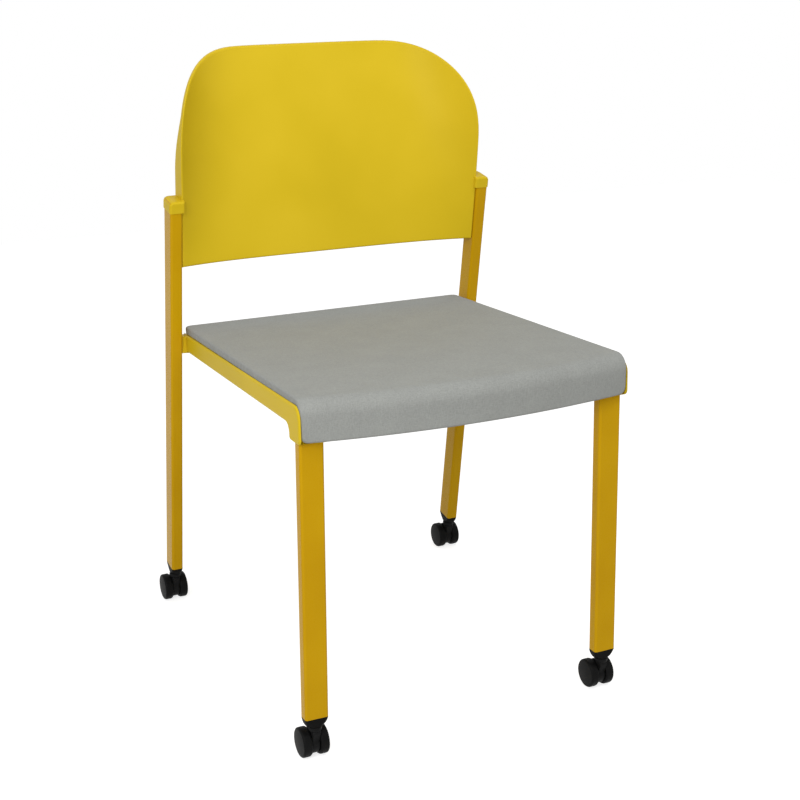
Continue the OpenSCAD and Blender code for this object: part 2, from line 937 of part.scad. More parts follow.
function back_y(x, z) =
    let (
        t = (z - back_bottom) / back_rise,
        u = min(1, abs(x) / (back_w / 2))
    )
    post_front(z) + back_set + edge_curl * t * t
    + (wrap_bottom + (wrap_top - wrap_bottom) * t) * (1 - pow(u, wrap_power));

// Outline of the shell: row r up its side, with all edges drawn in by inset
function back_side(r, inset) =
    let (
        centre_z = back_top - back_corner_h,
        low = back_bottom + inset,
        t = (r - straight_row_count) / corner_row_count * 90
    )
    r <= straight_row_count
    ? [back_w / 2 - inset, low + (centre_z - low) * r / straight_row_count]
    : [
        back_w / 2 - back_corner_w + (back_corner_w - inset) * pow(cos(t), 2 / back_square),
        centre_z + (back_corner_h - inset) * pow(sin(t), 2 / back_square)
    ];

function back_point(r, c, inset, depth) =
    let (
        p = back_side(r, inset),
        x = p[0] * (2 * c / (back_col_count - 1) - 1)
    )
    [x, back_y(x, p[1]) + depth, p[1]];

function flank_depth(z) =
    let (fall = (z - back_bottom - flank_fall_low) / (flank_fall_high - flank_fall_low))
    flank_deep + (flank_shallow - flank_deep) * smooth(fall);

// How far back the rim reaches at a border point
function rim_y(r, c) =
    let (
        e = back_point(r, c, 0, 0),
        p = back_point(r, c, flank_t, panel_t + rim_lip)
    )
    r == 0 && c > 0 && c < back_col_count - 1
    ? max(e[1] + flank_shallow, p[1])
    : max(e[1] + flank_depth(e[2]), p[1]);

function bottom_rim_y(r, c) =
    let (
        e = back_point(r, c, 0, 0),
        u = abs(2 * c / (back_col_count - 1) - 1)
    )
    r == 0 ? e[1] + flank_shallow + (flank_deep - flank_shallow) * smooth((u - 0.86) / 0.14) : rim_y(r, c);

module shell_skin()
{
    in45 = back_edge * (1 - cos(45));
    skin(
        back_row_count + 1, back_col_count,
        function (r, c) back_point(r, c, back_edge, 0),
        [
            function (r, c) back_point(r, c, in45, in45),
            function (r, c) back_point(r, c, 0, back_edge),
            function (r, c) let (p = back_point(r, c, 0, 0)) [p[0], bottom_rim_y(r, c), p[2]],
            function (r, c) let (p = back_point(r, c, flank_t, 0)) [p[0], bottom_rim_y(r, c), p[2]]
        ],
        function (r, c) back_point(r, c, flank_t, panel_t)
    );
}

// An ear caps the post's end. Its front view and its plan are both rounded.
module ear(side)
{
    wide = tube_narrow + ear_wall + 2 * still_fit + flank_t;
    deep = tube_wide + 2 * ear_wall + 2 * still_fit;
    base = post_length + ear_top - ear_h;
    outer = tube_narrow / 2 + ear_wall + still_fit;
    in_post(side)
        on_side(side)
            intersection() {
                translate([outer - wide / 2, 0, base])
                    linear_extrude(height = ear_h)
                        rounded_rect(wide, deep, tube_corner);
                translate([0, deep, base])
                    rotate([90, 0, 0])
                        linear_extrude(height = 2 * deep) {
                            translate([outer - wide - over, 0])
                                square([wide + over, ear_h - ear_round]);
                            translate([outer - wide - over, 0])
                                square([wide + over - ear_round, ear_h]);
                            translate([outer - ear_round, ear_h - ear_round])
                                circle(r = ear_round);
                        }
            }
}

module post_room(side)
{
    in_post(side)
        translate([0, 0, post_length - 2 * ear_h])
            linear_extrude(height = 2 * ear_h + still_fit)
                rounded_rect(tube_narrow + 2 * still_fit, tube_wide + 2 * still_fit, tube_corner + still_fit);
}

// Screws go from inside the shell's sides outward into nuts set in the posts
module back_screw_places(side)
{
    for (h = [screw_low, screw_high])
        in_post(side)
            translate([-side * (tube_narrow / 2 + 2 * still_fit + flank_t), 0, h])
                rotate([0, side * 90, 0])
                    children();
}

module backrest_shell()
{
    color(yellow)
        difference() {
            union() {
                shell_skin();
                for (side = [-1, 1])
                    ear(side);
            }
            for (side = [-1, 1]) {
                post_room(side);
                back_screw_places(side)
                    translate([0, 0, -over])
                        cylinder(r = screw_r + still_fit, h = flank_t + 2 * over);
            }
        }
}

module back_screws()
{
    color(steel)
        for (side = [-1, 1])
            back_screw_places(side) {
                cylinder(r = screw_r, h = screw_l);
                translate([0, 0, -screw_head_h - run_fit])
                    cylinder(r = screw_head_r, h = screw_head_h);
                translate([0, 0, -run_fit - over / 2])
                    cylinder(r = screw_r, h = over);
            }
}

module back_nut_inserts()
{
    color(steel)
        for (side = [-1, 1])
            for (h = [screw_low, screw_high])
                in_post(side)
                    translate([-side * tube_narrow / 2, 0, h])
                        rotate([0, side * 90, 0])
                            rotate_extrude()
                                polygon([
                                    [screw_r + run_fit, 0],
                                    [nut_r, 0],
                                    [nut_r, tube_wall + still_fit],
                                    [nut_bulge_r, tube_wall + still_fit + over],
                                    [nut_bulge_r, tube_wall + 2 * over],
                                    [nut_r, tube_wall + 3 * over],
                                    [nut_r, nut_l],
                                    [screw_r + run_fit, nut_l]
                                ]);
}

// Castors: each is drawn with its swivel on Z and its axle behind it

axle_z = wheel_d / 2;
axle_in = 2.5;
axle_l = 2 * wheel_w + wheel_gap - 2 * axle_in;
web_w = wheel_gap - 2 * move_gap;
web_in = 3.5;
web_r = wheel_d / 2 - web_in;
neck_top = foot_height - bowl_h - move_gap;
neck_rise = 1.5;
neck_low = axle_z + wheel_d / 2 + neck_rise;
stem_in = 3;
stem_low = neck_low - stem_in;
stem_rise = 24;
stem_high = foot_height + stem_rise;
ring_wire = 1.3;
ring_rise = 14;
ring_z = foot_height + ring_rise;
ring_r = stem_d / 2 - 2 * run_fit;
hood_gap = 1;
hood_in = wheel_d / 2 + hood_gap;
hood_half = wheel_gap / 2 + wheel_w;
stem_foot = 6;

module at_castor(side, rear)
{
    translate([
        side * (rear ? post_span : front_foot_span) / 2,
        rear ? rear_foot_y : front_foot_y,
        0
    ])
        children();
}

module on_axle()
{
    translate([0, trail, axle_z])
        rotate([0, 90, 0])
            children();
}

module castor_stem(side, rear)
{
    color(steel)
        at_castor(side, rear)
            difference() {
                translate([0, 0, stem_low])
                    cylinder(r = stem_d / 2, h = stem_high - stem_low);
                translate([0, 0, ring_z])
                    rotate_extrude()
                        translate([ring_r, 0])
                            circle(r = ring_wire / 2 + run_fit, $fn = small_round_count);
            }
}

module snap_ring(side, rear)
{
    color(steel)
        at_castor(side, rear)
            translate([0, 0, ring_z])
                rotate_extrude(angle = 320)
                    translate([ring_r, 0])
                        circle(r = ring_wire / 2, $fn = small_round_count);
}

module axle(side, rear)
{
    color(steel)
        at_castor(side, rear)
            on_axle()
                translate([0, 0, -axle_l / 2])
                    cylinder(r = axle_d / 2, h = axle_l);
}

// The hood is turned about the axle, cut to its front and top, and drawn up into the neck
module housing(side, rear)
{
    color(black)
        at_castor(side, rear)
            difference() {
                union() {
                    intersection() {
                        on_axle()
                            rotate_extrude()
                                polygon([
                                    [hood_in, -hood_half],
                                    [hood_in + hood_t, -hood_half],
                                    [hood_in + hood_t + hood_rise, -neck_d / 2 + over],
                                    [hood_in + hood_t + hood_rise, neck_d / 2 - over],
                                    [hood_in + hood_t, hood_half],
                                    [hood_in, hood_half]
                                ]);
                        translate([-wheel_d, trail - wheel_d, axle_z + wheel_d * 0.18])
                            cube([2 * wheel_d, wheel_d * 1.36, wheel_d]);
                    }
                    on_axle()
                        translate([0, 0, -web_w / 2])
                            cylinder(r = web_r, h = web_w);
                    translate([-web_w / 2, trail - web_r, axle_z])
                        cube([web_w, 2 * web_r * 0.85, wheel_d / 2 + hood_t]);
                    translate([0, 0, neck_low - stem_foot])
                        cylinder(r = neck_d / 2 - over, h = neck_top - neck_low + stem_foot);
                    translate([0, 0, neck_low + over])
                        cylinder(r = neck_d / 2, h = neck_top - neck_low - 2 * over);
                }
                // Wheels turn clear of the housing
                for (k = [0, 1])
                    on_axle()
                        translate([0, 0, k ? web_w / 2 : -web_w / 2 - 2 * wheel_d])
                            cylinder(r = hood_in - move_gap / 2, h = 2 * wheel_d);
                on_axle()
                    translate([0, 0, -wheel_d])
                        cylinder(r = axle_d / 2 + run_fit, h = 2 * wheel_d);
                translate([0, 0, stem_low])
                    cylinder(r = stem_d / 2 + run_fit, h = 2 * wheel_d);
            }
}

module wheel(side, rear, out)
{
    inner = wheel_gap / 2;
    outer = inner + wheel_w;
    r = wheel_d / 2;
    dome_r = (pow(r - wheel_round, 2) + wheel_dome * wheel_dome) / (2 * wheel_dome);
    color(black)
        at_castor(side, rear)
            on_axle()
                mirror([0, 0, out > 0 ? 0 : 1])
                    difference() {
                        union() {
                            translate([0, 0, inner])
                                cylinder(r = r - wheel_round / 2, h = wheel_w - wheel_round);
                            rotate_extrude()
                                union() {
                                    translate([0, inner + wheel_round])
                                        square([r, wheel_w - 2 * wheel_round]);
                                    translate([0, inner])
                                        square([r - wheel_round, wheel_w]);
                                    translate([r - wheel_round, inner + wheel_round])
                                        circle(r = wheel_round, $fn = small_round_count);
                                    translate([r - wheel_round, outer - wheel_round])
                                        circle(r = wheel_round, $fn = small_round_count);
                                }
                            intersection() {
                                translate([0, 0, outer + wheel_dome - dome_r])
                                    sphere(r = dome_r, $fn = 2 * $fn);
                                translate([0, 0, inner + wheel_w / 2])
                                    cylinder(r = r - wheel_round, h = wheel_w);
                            }
                        }
                        translate([0, 0, -over])
                            cylinder(r = axle_d / 2 + run_fit, h = axle_l / 2 + over + move_gap);
                        // Hollow behind the tread
                        translate([0, 0, inner - over])
                            difference() {
                                cylinder(r = r - wheel_round - over, h = wheel_w / 2 + over);
                                cylinder(r = axle_d, h = wheel_w / 2 + over);
                            }
                    }
}

// A leg insert: a plug in the tube, and a bowl from the tube's outline down to the neck
plug_l = 30;
bowl_lip = 1.2;
neck_in = 2.5;

module leg_insert(side, rear)
{
    w = rear ? tube_narrow : tube_wide;
    d = rear ? tube_wide : tube_narrow;
    color(black)
        difference() {
            union() {
                if (rear) {
                    in_post(side)
                        insert_plug(w, d);
                    hull() {
                        in_post(side)
                            insert_rim(w, d);
                        at_castor(side, rear)
                            insert_seat();
                    }
                } else {
                    in_leg(side)
                        insert_plug(w, d);
                    hull() {
                        in_leg(side)
                            insert_rim(w, d);
                        at_castor(side, rear)
                            insert_seat();
                    }
                }
            }
            at_castor(side, rear)
                translate([0, 0, foot_height - 2 * bowl_h])
                    cylinder(r = stem_d / 2 + run_fit, h = stem_high - foot_height + 2 * bowl_h + move_gap);
            at_castor(side, rear)
                translate([0, 0, ring_z - ring_wire / 2 - move_gap])
                    cylinder(r = ring_r + ring_wire / 2 + move_gap, h = ring_wire + 2 * move_gap);
        }
}

module insert_plug(w, d)
{
    inner = 2 * tube_wall + 2 * still_fit;
    translate([0, 0, -over / 2])
        linear_extrude(height = plug_l)
            rounded_rect(w - inner, d - inner, tube_corner - tube_wall);
}

module insert_rim(w, d)
{
    translate([0, 0, -run_fit - bowl_lip])
        linear_extrude(height = bowl_lip)
            rounded_rect(w, d, tube_corner);
}

module insert_seat()
{
    translate([0, 0, foot_height - bowl_h])
        cylinder(r = neck_d / 2 - neck_in, h = bowl_lip / 2, $fn = 32);
}

// Nodes

backrest_shell();
back_screws();
back_nut_inserts();
rear_post(1);  // rear_post_left
rear_post(-1);  // rear_post_right
front_leg(1);  // front_leg_left
front_leg(-1);  // front_leg_right
rear_cross_bar();
front_cross_bar();
side_bar(1);  // side_bar_left
side_bar(-1);  // side_bar_right
seat_pan();
pan_screws();
board_screws();
leg_screws();
seat_board();
seat_cushion();
leg_insert(1, false);  // insert_front_left
leg_insert(-1, false);  // insert_front_right
leg_insert(1, true);  // insert_rear_left
leg_insert(-1, true);  // insert_rear_right
castor_stem(1, false);  // stem_front_left
castor_stem(-1, false);  // stem_front_right
castor_stem(1, true);  // stem_rear_left
castor_stem(-1, true);  // stem_rear_right
snap_ring(1, false);  // snap_ring_front_left
snap_ring(-1, false);  // snap_ring_front_right
snap_ring(1, true);  // snap_ring_rear_left
snap_ring(-1, true);  // snap_ring_rear_right
housing(1, false);  // housing_front_left
housing(-1, false);  // housing_front_right
housing(1, true);  // housing_rear_left
housing(-1, true);  // housing_rear_right
axle(1, false);  // axle_front_left
axle(-1, false);  // axle_front_right
axle(1, true);  // axle_rear_left
axle(-1, true);  // axle_rear_right
wheel(1, false, 1);  // wheel_front_left_a
wheel(1, false, -1);  // wheel_front_left_b
wheel(-1, false, 1);  // wheel_front_right_a
wheel(-1, false, -1);  // wheel_front_right_b
wheel(1, true, 1);  // wheel_rear_left_a
wheel(1, true, -1);  // wheel_rear_left_b
wheel(-1, true, 1);  // wheel_rear_right_a
wheel(-1, true, -1);  // wheel_rear_right_b
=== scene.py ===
import math

import bmesh
import bpy
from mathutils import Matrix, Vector


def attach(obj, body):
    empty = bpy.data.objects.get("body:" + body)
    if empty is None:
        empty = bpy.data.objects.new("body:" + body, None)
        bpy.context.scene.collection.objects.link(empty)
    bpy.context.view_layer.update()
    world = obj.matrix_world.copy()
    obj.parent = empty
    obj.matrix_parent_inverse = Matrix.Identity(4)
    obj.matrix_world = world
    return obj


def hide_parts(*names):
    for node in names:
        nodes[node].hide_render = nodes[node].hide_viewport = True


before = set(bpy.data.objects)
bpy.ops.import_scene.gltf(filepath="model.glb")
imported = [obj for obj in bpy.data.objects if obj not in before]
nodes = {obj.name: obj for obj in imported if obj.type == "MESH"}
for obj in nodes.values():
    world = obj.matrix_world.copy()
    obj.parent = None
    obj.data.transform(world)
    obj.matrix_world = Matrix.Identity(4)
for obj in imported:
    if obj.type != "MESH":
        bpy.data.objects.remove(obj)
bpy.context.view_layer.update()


# Posts and legs
# Flat-sided steel tube, 32 by 17.5 mm, cut square at both ends and powder coated in one warm yellow.
# The rear posts stand with the narrow side to the front, the front legs with the wide side.

def new_material(name):
    material = bpy.data.materials.new(name)
    material.use_nodes = True
    tree = material.node_tree
    return material, tree, tree.nodes["Principled BSDF"]


def place_texture(tree, stretch=(1, 1, 1)):
    """Texture space in metres that stays with the piece, stretched along its axes."""
    where = tree.nodes.new("ShaderNodeTexCoord")
    mapping = tree.nodes.new("ShaderNodeMapping")
    mapping.inputs["Scale"].default_value = stretch
    tree.links.new(where.outputs["Object"], mapping.inputs["Vector"])
    return mapping.outputs["Vector"]


def speckle(tree, place, scale, detail=3.0, rough=0.5):
    noise = tree.nodes.new("ShaderNodeTexNoise")
    noise.inputs["Scale"].default_value = scale
    noise.inputs["Detail"].default_value = detail
    noise.inputs["Roughness"].default_value = rough
    tree.links.new(place, noise.inputs["Vector"])
    return noise.outputs["Fac"]


def spread(tree, value, low, high, start=0.3, end=0.7):
    """Turns a 0 to 1 value into the range low to high."""
    ranged = tree.nodes.new("ShaderNodeMapRange")
    ranged.inputs["From Min"].default_value = start
    ranged.inputs["From Max"].default_value = end
    ranged.inputs["To Min"].default_value = low
    ranged.inputs["To Max"].default_value = high
    tree.links.new(value, ranged.inputs["Value"])
    return ranged.outputs["Result"]


def tint(tree, share, colours):
    ramp = tree.nodes.new("ShaderNodeValToRGB")
    points = ramp.color_ramp.elements
    while len(points) < len(colours):
        points.new(0.5)
    for point, (at, colour) in zip(points, colours):
        point.position = at
        point.color = (*colour, 1)
    tree.links.new(share, ramp.inputs["Fac"])
    return ramp.outputs["Color"]


def lighter(colour, times):
    return tuple(min(1, times * c) for c in colour)


def relief(tree, shader, height, strength, depth):
    bump = tree.nodes.new("ShaderNodeBump")
    bump.inputs["Strength"].default_value = strength
    bump.inputs["Distance"].default_value = depth
    tree.links.new(height, bump.inputs["Height"])
    tree.links.new(bump.outputs["Normal"], shader.inputs["Normal"])


def blend_colours(tree, share, under, over):
    mix = tree.nodes.new("ShaderNodeMix")
    mix.data_type = "RGBA"
    tree.links.new(share, mix.inputs["Factor"])
    tree.links.new(under, mix.inputs["A"])
    tree.links.new(over, mix.inputs["B"])
    return mix.outputs["Result"]


def worn_edges(tree, low, high):
    """1 on convex edges, where a finish is thinnest, and 0 elsewhere."""
    geometry = tree.nodes.new("ShaderNodeNewGeometry")
    return spread(tree, geometry.outputs["Pointiness"], 0.0, 1.0, low, high)


def grained_finish(name, body, edge, drift, worn, grain, rough, bump, level):
    """A finish whose colour drifts a little and changes on worn edges, with a fine grain in its surface."""
    material, tree, shader = new_material(name)
    place = place_texture(tree)
    cloud = speckle(tree, place, **drift)
    colour = blend_colours(
        tree, worn_edges(tree, *worn), tint(tree, cloud, body), tint(tree, cloud, edge),
    )
    tree.links.new(colour, shader.inputs["Base Color"])
    fine = speckle(tree, place, **grain)
    tree.links.new(spread(tree, fine, *rough), shader.inputs["Roughness"])
    relief(tree, shader, fine, **bump)
    shader.inputs["IOR"].default_value = 1.5
    shader.inputs["Specular IOR Level"].default_value = level
    return material


def powder_coat(name, deep, mean, light):
    material = grained_finish(
        name,
        body=[(0.3, deep), (0.5, mean), (0.7, light)],
        edge=[(0.3, light), (0.7, lighter(light, 1.12))],
        drift={"scale": 9.0, "detail": 2.0},
        worn=(0.52, 0.62),
        grain={"scale": 620.0, "detail": 2.0},
        rough=(0.24, 0.36),
        bump={"strength": 0.08, "depth": 0.0001},
        level=0.06,
    )
    shader = material.node_tree.nodes["Principled BSDF"]
    shader.inputs["Sheen Weight"].default_value = 0.22
    shader.inputs["Sheen Roughness"].default_value = 0.25
    return material


same_spot, flat_weight = 0.00001, 80
edge_steps, sharp_from = 2, math.radians(35)
metal_edge = 0.0003


def join_faces(piece):
    """Joins faces that meet, so that the edges between them can be rounded."""
    join = piece.modifiers.new("joined", "WELD")
    join.merge_threshold = same_spot


def even_light(piece):
    """Lets the large faces set the shading across the small rounded ones."""
    even = piece.modifiers.new("even_light", "WEIGHTED_NORMAL")
    even.weight = flat_weight


def round_edges(piece, edge):
    bevel = piece.modifiers.new("broken_edges", "BEVEL")
    bevel.width = edge
    bevel.segments = edge_steps
    bevel.limit_method = "ANGLE"
    bevel.angle_limit = sharp_from
    bevel.use_clamp_overlap = False
    even_light(piece)


def finish_with(node, material, edge=0.0):
    """Gives a frame part its finish, and breaks its sharp edges."""
    piece = nodes[node]
    for place in piece.material_slots:
        place.material = material
    join_faces(piece)
    if edge:
        round_edges(piece, edge)


tube_yellow = powder_coat(
    "tube_yellow", deep=(0.540, 0.294, 0.0020), mean=(0.570, 0.319, 0.0025), light=(0.600, 0.344, 0.0035),
)
for node in ("rear_post_left", "rear_post_right", "front_leg_left", "front_leg_right"):
    finish_with(node, tube_yellow, metal_edge)


# Bars under the seat
# Thin rectangular steel tube welded between the legs and posts, coated with them in the same yellow.
# Only their ends and undersides show, from below and behind.

bar_yellow = powder_coat(
    "bar_yellow", deep=(0.515, 0.277, 0.0020), mean=(0.545, 0.300, 0.0025), light=(0.575, 0.324, 0.0035),
)
for node in ("rear_cross_bar", "front_cross_bar", "side_bar_left", "side_bar_right"):
    finish_with(node, bar_yellow, metal_edge)


# Leg inserts
# Black nylon plugs pressed into the tubes' ends. Below each tube the plug swells into a rounded bowl
# that narrows to the castor's neck, and it holds the castor's stem.

def nylon(name, mean, light, coarse, rough):
    return grained_finish(
        name,
        body=[(0.35, mean), (0.7, light)],
        edge=[(0.3, lighter(light, 1.4)), (0.7, lighter(light, 1.9))],
        drift={"scale": 60.0, "detail": 3.0},
        worn=(0.53, 0.68),
        grain={"scale": coarse, "detail": 3.0, "rough": 0.6},
        rough=rough,
        bump={"strength": 0.25, "depth": 0.00015},
        level=0.05,
    )


insert_black = nylon(
    "insert_black", mean=(0.0030, 0.0028, 0.0026), light=(0.0048, 0.0046, 0.0042),
    coarse=1500.0, rough=(0.42, 0.56),
)
corners = [(end, side) for end in ("front", "rear") for side in ("left", "right")]
swivels = {"front": (0.2147, -0.25894), "rear": (0.2402, 0.26166)}      # at the sitter's left
lean = math.radians(8.5)                                                # of the rear posts
bowl_low, bowl_deeper, bowl_slims = 0.053, 0.005, 0.06
bowl_levels = (0.0539, 0.0550, 0.0563, 0.0578)
rim_mean, rim_half = 0.0597, 0.016
seat_r, seat_full, bore_r = 0.0085, 0.0080, 0.007
underside_share = 0.001
insert_edge = 0.0003


def swivel_of(end, side):
    """Where a castor's upright stem stands, across and along the floor."""
    across, along = swivels[end]
    return (across if side == "left" else -across), along


def piece_from(name, mesh, material, body, node):
    """A piece of the scene's own in place of a frame part."""
    mesh.materials.clear()
    mesh.materials.append(material)
    for face in mesh.polygons:
        face.use_smooth = True
    piece = bpy.data.objects.new(name, mesh)
    bpy.context.scene.collection.objects.link(piece)
    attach(piece, body)
    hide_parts(node)
    return piece


def leg_insert(end, side):
    """The frame's insert with its bowl rounded out between the tube's outline and the castor."""
    across, along = swivel_of(end, side)
    fall = math.tan(lean) if end == "rear" else 0.0
    shape = bmesh.new()
    shape.from_mesh(nodes[f"insert_{end}_{side}"].data)
    bmesh.ops.remove_doubles(shape, verts=shape.verts[:], dist=same_spot)
    for level in bowl_levels:
        bmesh.ops.bisect_plane(
            shape, geom=shape.verts[:] + shape.edges[:] + shape.faces[:],
            plane_co=(0, 0, level), plane_no=(0, 0, 1),
        )
    for vertex in shape.verts:
        x, y = vertex.co.x - across, vertex.co.y - along
        share = max(0.0, (vertex.co.z - bowl_low) / (rim_mean + fall * y - bowl_low))
        if share < underside_share:
            vertex.co.z -= bowl_deeper
        elif share < 1 and math.hypot(x, y) > bore_r:
            vertex.co.z -= bowl_deeper * (1 - share)
        if math.hypot(x, y) < bore_r or share >= 1:
            continue
        full = seat_full + (rim_half - seat_full) * math.sqrt(1 - (1 - share) ** 2)
        wide = full / (seat_r + (rim_half - seat_r) * share)
        slim = 1 - bowl_slims * (1 - share)
        vertex.co.x = across + x * (wide if end == "front" else slim)
        vertex.co.y = along + y * (slim if end == "front" else wide)
    mesh = bpy.data.meshes.new("leg_insert")
    shape.to_mesh(mesh)
    shape.free()
    insert = piece_from(
        f"leg_insert_{end}_{side}", mesh, insert_black, "chair", f"insert_{end}_{side}",
    )
    round_edges(insert, insert_edge)


for end, side in corners:
    leg_insert(end, side)


# Castors
# Each has a small moulded nylon body, a round neck with a web between the wheels, on a zinc-plated stem
# that turns in the leg insert. A snap ring holds the stem, and two wheels run on one short axle behind it.

housing_black = nylon(
    "housing_black", mean=(0.0055, 0.0055, 0.0055), light=(0.009, 0.009, 0.009),
    coarse=1300.0, rough=(0.38, 0.52),
)
wheel_black = nylon(
    "wheel_black", mean=(0.0050, 0.0050, 0.0050), light=(0.0078, 0.0078, 0.0078),
    coarse=900.0, rough=(0.42, 0.56),
)


def plated(name, mean, light, streak):
    """Zinc plating with the fine lines of the drawn or turned steel under it."""
    material, tree, shader = new_material(name)
    place = place_texture(tree, streak)
    drawn = speckle(tree, place, scale=400.0, detail=2.0)
    tree.links.new(tint(tree, drawn, [(0.3, mean), (0.7, light)]), shader.inputs["Base Color"])
    tree.links.new(spread(tree, drawn, 0.28, 0.46), shader.inputs["Roughness"])
    relief(tree, shader, drawn, strength=0.1, depth=0.0001)
    shader.inputs["Metallic"].default_value = 1.0
    return material


stem_zinc = plated("stem_zinc", (0.50, 0.50, 0.50), (0.66, 0.66, 0.65), streak=(1.0, 1.0, 6.0))
axle_zinc = plated("axle_zinc", (0.50, 0.50, 0.50), (0.66, 0.66, 0.65), streak=(6.0, 1.0, 1.0))
trail, axle_high = 0.0118, 0.020
neck_r, neck_low, neck_high = 0.0088, 0.0415, 0.0475
# How far in from the neck's radius, and how high over the floor
neck_profile = [
    (0.003, neck_low), (0.0012, neck_low), (0.0004, neck_low + 0.0008), (0.0, neck_low + 0.0025),
    (0.0, neck_high - 0.0006), (0.0006, neck_high), (0.003, neck_high),
]
neck_turns = [math.radians(7.5 * k) for k in range(48)]
web_half, web_r, web_soft = 0.0052, 0.0165, 0.0009
# The web's side view, how far back from the stem and how high, round the axle between these two ends
web_front = [(-0.0076, neck_low + 0.001), (-0.0072, 0.0372), (-0.0055, 0.0318)]
web_back = [(0.0212, 0.0352), (0.0150, 0.0388), (0.0076, neck_low + 0.001)]
web_turns = [math.radians(22 - 10 * k) for k in range(24)]
web_middle = Vector((trail * 0.8, 0.029))
castor_edge = 0.0004


def stacked(points, faces, rings, mirrored=False):
    """Adds a closed form from rings of equal count, the first and last closed flat."""
    first, count = len(points), len(rings[0])
    order = -1 if mirrored else 1
    for ring in rings:
        points += ring
    for k in range(len(rings) - 1):
        for j in range(count):
            n = (j + 1) % count
            a, b = first + k * count, first + (k + 1) * count
            faces.append((a + j, a + n, b + n, b + j)[::order])
    last = first + (len(rings) - 1) * count
    faces.append(tuple(range(first, first + count))[::-order])
    faces.append(tuple(range(last, last + count))[::order])


def castor_housing(end, side):
    """A round neck over the wheels and a web between them, from the neck back and down round the axle."""
    across, along = swivel_of(end, side)
    points, faces = [], []
    rings = []
    for inset, z in neck_profile:
        r = neck_r - inset
        rings.append([Vector((across + r * math.cos(a), along + r * math.sin(a), z)) for a in neck_turns])
    stacked(points, faces, rings)
    outline = list(web_front)
    outline += [(trail - web_r * math.cos(a), axle_high + web_r * math.sin(a)) for a in web_turns]
    outline += web_back
    rings = []
    for x, inset in (
        (-web_half, web_soft), (-web_half + web_soft, 0.0), (web_half - web_soft, 0.0), (web_half, web_soft),
    ):
        rings.append([
            Vector((
                across + x,
                along + y - (y - web_middle.x) * inset / web_r,
                z - (z - web_middle.y) * inset / web_r,
            ))
            for y, z in outline
        ])
    stacked(points, faces, rings)
    mesh = bpy.data.meshes.new("castor_body")
    mesh.from_pydata(points, [], faces)
    housing = piece_from(
        f"castor_body_{end}_{side}", mesh, housing_black,
        f"castor_{end}_{side}", f"housing_{end}_{side}",
    )
    even_light(housing)


for end, side in corners:
    castor_housing(end, side)
    finish_with(f"stem_{end}_{side}", stem_zinc, castor_edge)
    finish_with(f"snap_ring_{end}_{side}", stem_zinc)
    finish_with(f"axle_{end}_{side}", axle_zinc, castor_edge)
    for wheel in ("a", "b"):
        finish_with(f"wheel_{end}_{side}_{wheel}", wheel_black, castor_edge)


# Seat pan
# One glass-filled nylon moulding in lemon yellow with a fine satin grain. Its side rails carry the pad
# and hide the side bars, collars cap the front legs, and lugs at the back reach the rear posts.

def moulded(name, deep, mean, light):
    return grained_finish(
        name,
        body=[(0.3, deep), (0.5, mean), (0.7, light)],
        edge=[(0.3, light), (0.7, lighter(light, 1.1))],
        drift={"scale": 6.0, "detail": 2.0},
        worn=(0.52, 0.62),
        grain={"scale": 1400.0, "detail": 3.0, "rough": 0.6},
        rough=(0.36, 0.48),
        bump={"strength": 0.18, "depth": 0.0001},
        level=0.08,
    )


moulded_yellow = moulded(
    "moulded_yellow", deep=(0.640, 0.455, 0.012), mean=(0.675, 0.480, 0.014), light=(0.710, 0.505, 0.018),
)
seat_back, seat_level, seat_slope = 0.21136, 0.4587, math.radians(3.44)


def from_seat(x, forward, up):
    """A place in the seat's own sloped frame, as a place over the floor."""
    return Vector((
        x,
        seat_back - forward * math.cos(seat_slope) + up * math.sin(seat_slope),
        seat_level + forward * math.sin(seat_slope) + up * math.cos(seat_slope),
    ))


rail_start, rail_half, rail_widens = 0.001, 0.2243, 0.013584
rim_low, rim_high, rim_r, rim_fall = -0.0119, -0.0085, 0.0024, 0.0045
nose_at, nose_round = 0.462, 0.016
collar_low, collar_corner, collar_at, collar_toe = -0.056, 0.008, 0.441, 0.0035
rail_low, rail_bend, rail_soft = -0.038, 0.015, 0.006
rim_steps, nose_steps, collar_steps, bend_steps, soften_steps, under_steps = 8, 12, 6, 9, 5, 6
face_over, face_behind, face_seat = 0.00015, 0.0002, 0.0022
face_turns = (90, 72, 54, 36, 18, 0)
near_face, lug_reach, lug_low = 0.0003, 0.0005, -0.015
moulded_edge = 0.0004


def arc(forward, up, r, start, end, steps):
    """Places round a corner's centre, from one turn to another in degrees."""
    turns = [math.radians(start + (end - start) * k / steps) for k in range(steps + 1)]
    return [(forward + r * math.cos(a), up + r * math.sin(a)) for a in turns]


def rail_side():
    """The rail's side view as places forward and up, each with how far its rounded edge reaches down and in."""
    rim = [
        (rail_start + nose_at * k / rim_steps, rim_low + (rim_high - rim_low) * k / rim_steps)
        for k in range(rim_steps)
    ]
    rim += arc(nose_at, rim_high - nose_round, nose_round, 90, 0, nose_steps)
    places = [(*place, rim_fall, rim_r) for place in rim]
    corner_forward, corner_up = nose_at + nose_round - collar_corner, collar_low + collar_corner
    corner = arc(corner_forward, corner_up, collar_corner, 0, -90, collar_steps)
    for k, place in enumerate(corner):
        places.append((*place, rim_fall + (rim_r - rim_fall) * k / collar_steps, rim_r))
    places.append((collar_at + collar_toe, collar_low, rim_r, rim_r))
    bend_at, bend_high = collar_at - rail_bend, rail_low - rail_bend
    for k, place in enumerate(arc(bend_at, bend_high, rail_bend, 0, 90, bend_steps)):
        soft = rim_r + (rail_soft - rim_r) * min(1.0, k / soften_steps)
        places.append((*place, soft, soft))
    for k in range(1, under_steps + 1):
        places.append((bend_at * (1 - k / under_steps) + rail_start, rail_low, rail_soft, rail_soft))
    return places


